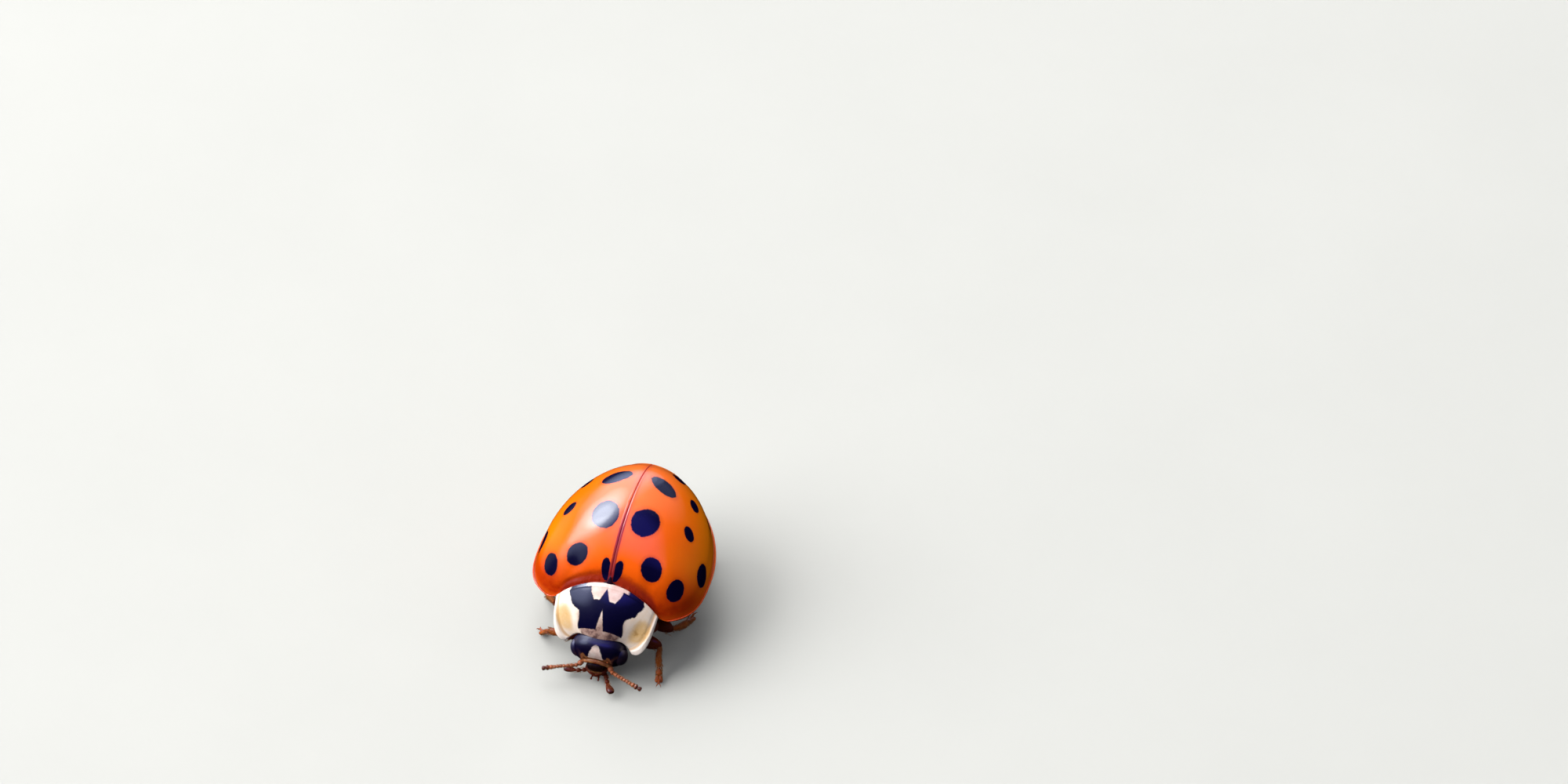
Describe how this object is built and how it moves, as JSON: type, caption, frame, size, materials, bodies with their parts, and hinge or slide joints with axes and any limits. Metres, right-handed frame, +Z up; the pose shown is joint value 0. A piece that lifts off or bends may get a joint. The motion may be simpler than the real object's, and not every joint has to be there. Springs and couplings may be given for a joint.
{
  "type": "harlequin ladybird model",
  "caption": "Still life-size ladybird with domed spotted wing cases, a pale-sided neck shield, hanging head, feelers and legs, standing on its own feet.",
  "frame": {"origin": "on the floor under the centre of the bounding box", "axes": "+Z up from the floor, the head faces -Y, the beetle's left side is at +X"},
  "size_m": [0.0056, 0.0078, 0.0042],
  "materials": {
    "wing_case": "glossy orange shell with black spots, clear-coated",
    "scutellum": "glossy dark brown-black",
    "neck_shield": "glossy cream with an indigo-black marking",
    "underside": "satin dark red-brown",
    "head": "glossy indigo-black with a white mark on the forehead",
    "eye": "fine-faceted glossy black",
    "mouth": "satin very dark red-brown",
    "feeler": "satin orange-brown with dark tips",
    "leg": "satin red-brown to orange-brown"
  },
  "bodies": {
    "root": {"elytron_left": "wing_case", "elytron_right": "wing_case", "scutellum": "scutellum", "pronotum": "neck_shield", "thorax": "underside", "abdomen": "underside", "prothorax": "underside", "head": "head", "eye_left": "eye", "eye_right": "eye", "labrum": "mouth", "mouthparts": "mouth", "antenna_left": "feeler", "antenna_right": "feeler", "palp_left": "feeler", "palp_right": "feeler", "coxa_fore_left": "leg", "femur_fore_left": "leg", "tibia_fore_left": "leg", "tarsus_fore_left": "leg", "coxa_fore_right": "leg", "femur_fore_right": "leg", "tibia_fore_right": "leg", "tarsus_fore_right": "leg", "coxa_mid_left": "leg", "femur_mid_left": "leg", "tibia_mid_left": "leg", "tarsus_mid_left": "leg", "coxa_mid_right": "leg", "femur_mid_right": "leg", "tibia_mid_right": "leg", "tarsus_mid_right": "leg", "coxa_hind_left": "leg", "femur_hind_left": "leg", "tibia_hind_left": "leg", "tarsus_hind_left": "leg", "coxa_hind_right": "leg", "femur_hind_right": "leg", "tibia_hind_right": "leg", "tarsus_hind_right": "leg"}
  },
  "joints": []
}
